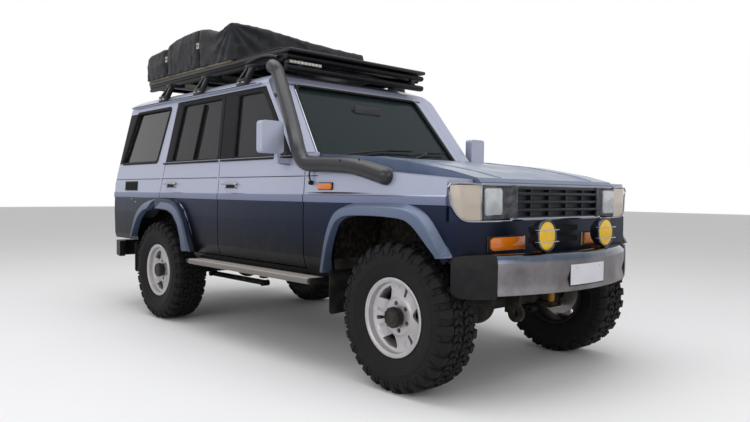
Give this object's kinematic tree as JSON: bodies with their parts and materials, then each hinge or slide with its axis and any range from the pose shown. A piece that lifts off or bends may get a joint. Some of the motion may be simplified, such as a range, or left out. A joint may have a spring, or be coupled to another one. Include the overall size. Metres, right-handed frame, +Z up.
{
  "type": "lifted off-road station wagon",
  "caption": "Lifted four-wheel-drive station wagon with opening doors and bonnet, steering wheels, side steps, snorkel, roof rack and a folded roof tent.",
  "frame": {"origin": "on the ground, at the middle of the vehicle's overall length and width", "axes": "+X forward, +Y to the vehicle's left, +Z up"},
  "size_m": [4.56, 2.084, 2.2733],
  "materials": {
    "upper_paint": "silver lavender metallic",
    "flare_paint": "grey blue metallic",
    "chassis_black": "satin black",
    "driveline": "dusty cast iron",
    "spring_yellow": "worn yellow enamel",
    "exhaust_steel": "heat-browned steel",
    "rim_alloy": "cast alloy, silver lacquer",
    "tyre_rubber": "mud-terrain rubber",
    "cabin_trim": "grained grey plastic",
    "floor_metal": "dark underbody coat",
    "window_glass": "dark tinted",
    "screen_glass": "clear",
    "bumper_chrome": "chrome",
    "black_plastic": "grained black plastic",
    "lamp_lens": "moulded lens",
    "fog_lens": "yellow lens",
    "red_lens": "red lens",
    "grille_dark": "dark grey with bright edges",
    "step_alloy": "ribbed alloy",
    "seat_cloth": "woven grey cloth",
    "flap_rubber": "rubber sheet",
    "snorkel_plastic": "satin black moulding",
    "rack_black": "powder-coated black",
    "tent_cover": "coated black fabric"
  },
  "bodies": {
    "root": {"chassis_frame": "chassis_black", "powertrain": "driveline", "exhaust": "exhaust_steel", "fuel_tank": "chassis_black", "front_axle": "driveline", "rear_axle": "driveline", "suspension": "spring_yellow", "floor_pan": "floor_metal", "bulkhead": "floor_metal", "body_sides": "upper_paint", "roof_panel": "upper_paint", "inner_wings": "floor_metal", "front_wings": "upper_paint", "fixed_glass": "screen_glass", "valance": "flare_paint", "grille": "grille_dark", "front_lamps": "lamp_lens", "driving_lamps": "fog_lens", "tail_lamps": "red_lens", "front_bumper": "bumper_chrome", "bumper_ends": "black_plastic", "rear_bumper": "black_plastic", "flares": "flare_paint", "mudflaps": "flap_rubber", "side_steps": "step_alloy", "seats": "seat_cloth", "dashboard": "cabin_trim", "steering_wheel": "cabin_trim", "snorkel": "snorkel_plastic", "roof_rack": "rack_black", "tent_base": "rack_black", "roof_tent": "tent_cover"},
    "bonnet": {"bonnet": "upper_paint"},
    "right_knuckle": {"right_knuckle": "driveline"},
    "left_knuckle": {"left_knuckle": "driveline"},
    "back_door_wide": {"back_door_wide": "upper_paint", "back_glass_wide": "window_glass", "spare_wheel": "tyre_rubber"},
    "back_door_narrow": {"back_door_narrow": "upper_paint", "back_glass_narrow": "window_glass"},
    "front_right_wheel": {"front_right_rim": "rim_alloy", "front_right_tyre": "tyre_rubber"},
    "front_right_door": {"front_right_door": "upper_paint", "front_right_glass": "window_glass"},
    "front_left_wheel": {"front_left_rim": "rim_alloy", "front_left_tyre": "tyre_rubber"},
    "front_left_door": {"front_left_door": "upper_paint", "front_left_glass": "window_glass"},
    "rear_right_wheel": {"rear_right_rim": "rim_alloy", "rear_right_tyre": "tyre_rubber"},
    "rear_right_door": {"rear_right_door": "upper_paint", "rear_right_glass": "window_glass"},
    "rear_left_wheel": {"rear_left_rim": "rim_alloy", "rear_left_tyre": "tyre_rubber"},
    "rear_left_door": {"rear_left_door": "upper_paint", "rear_left_glass": "window_glass"}
  },
  "joints": [
    {"name": "right_steering", "type": "hinge", "parent": "root", "child": "right_knuckle", "pos_m": [1.655, -0.64, 0.39], "axis": [0, 0, 1], "range_deg": [-30, 30]},
    {"name": "left_steering", "type": "hinge", "parent": "root", "child": "left_knuckle", "pos_m": [1.655, 0.64, 0.39], "axis": [0, 0, 1], "range_deg": [-30, 30]},
    {"name": "front_right_wheel_spin", "type": "hinge", "parent": "right_knuckle", "child": "front_right_wheel", "pos_m": [1.655, -0.736, 0.39], "axis": [0, 1, 0], "continuous": true},
    {"name": "front_left_wheel_spin", "type": "hinge", "parent": "left_knuckle", "child": "front_left_wheel", "pos_m": [1.655, 0.736, 0.39], "axis": [0, 1, 0], "continuous": true},
    {"name": "rear_right_wheel_spin", "type": "hinge", "parent": "root", "child": "rear_right_wheel", "pos_m": [-1.075, -0.736, 0.39], "axis": [0, 1, 0], "continuous": true},
    {"name": "rear_left_wheel_spin", "type": "hinge", "parent": "root", "child": "rear_left_wheel", "pos_m": [-1.075, 0.736, 0.39], "axis": [0, 1, 0], "continuous": true},
    {"name": "front_right_door_hinge", "type": "hinge", "parent": "root", "child": "front_right_door", "pos_m": [0.862, -0.85, 0.75], "axis": [0, 0.0279, 0.9996], "range_deg": [0, 65]},
    {"name": "front_left_door_hinge", "type": "hinge", "parent": "root", "child": "front_left_door", "pos_m": [0.862, 0.85, 0.75], "axis": [0, 0.0279, -0.9996], "range_deg": [0, 65]},
    {"name": "rear_right_door_hinge", "type": "hinge", "parent": "root", "child": "rear_right_door", "pos_m": [-0.148, -0.85, 0.75], "axis": [0, 0.0279, 0.9996], "range_deg": [0, 65]},
    {"name": "rear_left_door_hinge", "type": "hinge", "parent": "root", "child": "rear_left_door", "pos_m": [-0.148, 0.85, 0.75], "axis": [0, 0.0279, -0.9996], "range_deg": [0, 65]},
    {"name": "back_door_wide_hinge", "type": "hinge", "parent": "root", "child": "back_door_wide", "pos_m": [-1.962, -0.726, 1.1], "axis": [0.1961, 0, 0.9806], "range_deg": [0, 90]},
    {"name": "back_door_narrow_hinge", "type": "hinge", "parent": "root", "child": "back_door_narrow", "pos_m": [-1.962, 0.726, 1.1], "axis": [-0.1961, 0, -0.9806], "range_deg": [0, 90]},
    {"name": "bonnet_hinge", "type": "hinge", "parent": "root", "child": "bonnet", "pos_m": [0.869, 0, 1.262], "axis": [0, -1, 0], "range_deg": [0, 50]}
  ],
  "couplings": [
    {"joint": "left_steering", "follows": "right_steering", "ratio": 1}
  ]
}
